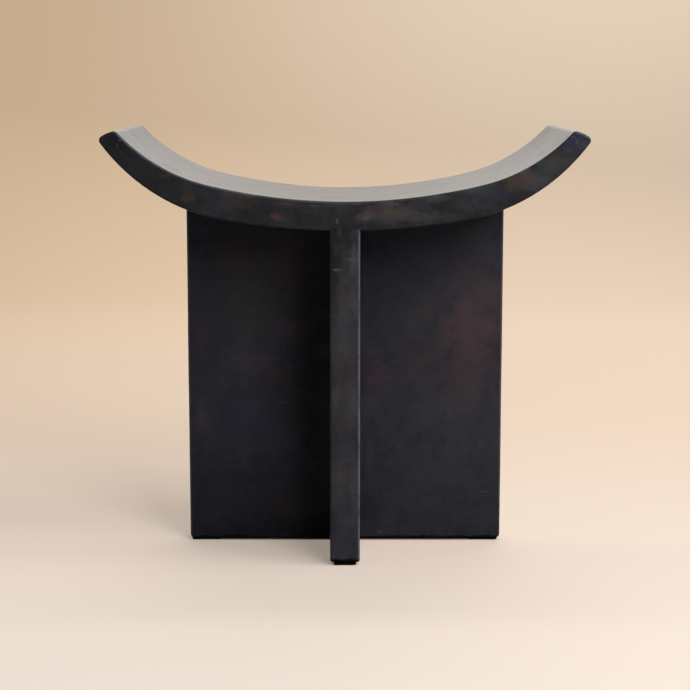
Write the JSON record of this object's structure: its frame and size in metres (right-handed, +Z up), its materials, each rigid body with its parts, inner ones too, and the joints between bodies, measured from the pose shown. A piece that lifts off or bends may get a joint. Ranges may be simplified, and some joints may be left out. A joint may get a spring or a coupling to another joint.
{
  "type": "stool",
  "caption": "Low stool with a curved saddle seat on two crossed upright panels, welded up hollow from dark patinated metal sheet, standing on small floor pads.",
  "frame": {"origin": "on the floor under the middle of the stool, at the undersides of the floor pads", "axes": "+X to the stool's right end of the seat, +Y to the back, +Z up"},
  "size_m": [0.5038, 0.24, 0.4578],
  "materials": {
    "patinated_sheet": "satin",
    "inner_sheet": "satin",
    "floor_pad": "matte"
  },
  "bodies": {
    "root": {"back_floor_pad": "floor_pad", "fin_back_edge_strip": "patinated_sheet", "fin_back_web": "inner_sheet", "fin_bottom_plate": "patinated_sheet", "fin_front_edge_strip": "patinated_sheet", "fin_front_web": "inner_sheet", "fin_left_side_sheet": "patinated_sheet", "fin_right_side_sheet": "patinated_sheet", "front_floor_pad": "floor_pad", "left_floor_pad": "floor_pad", "left_wing_back_sheet": "patinated_sheet", "left_wing_bottom_plate": "patinated_sheet", "left_wing_edge_strip": "patinated_sheet", "left_wing_front_sheet": "patinated_sheet", "left_wing_inner_web": "inner_sheet", "right_floor_pad": "floor_pad", "right_wing_back_sheet": "patinated_sheet", "right_wing_bottom_plate": "patinated_sheet", "right_wing_edge_strip": "patinated_sheet", "right_wing_front_sheet": "patinated_sheet", "right_wing_inner_web": "inner_sheet", "seat_back_cheek": "patinated_sheet", "seat_back_former": "inner_sheet", "seat_front_cheek": "patinated_sheet", "seat_front_former": "inner_sheet", "seat_left_end_cap": "patinated_sheet", "seat_left_stiffener": "inner_sheet", "seat_right_end_cap": "patinated_sheet", "seat_right_stiffener": "inner_sheet", "seat_top_skin": "patinated_sheet", "seat_underside_skin": "patinated_sheet"}
  },
  "joints": []
}
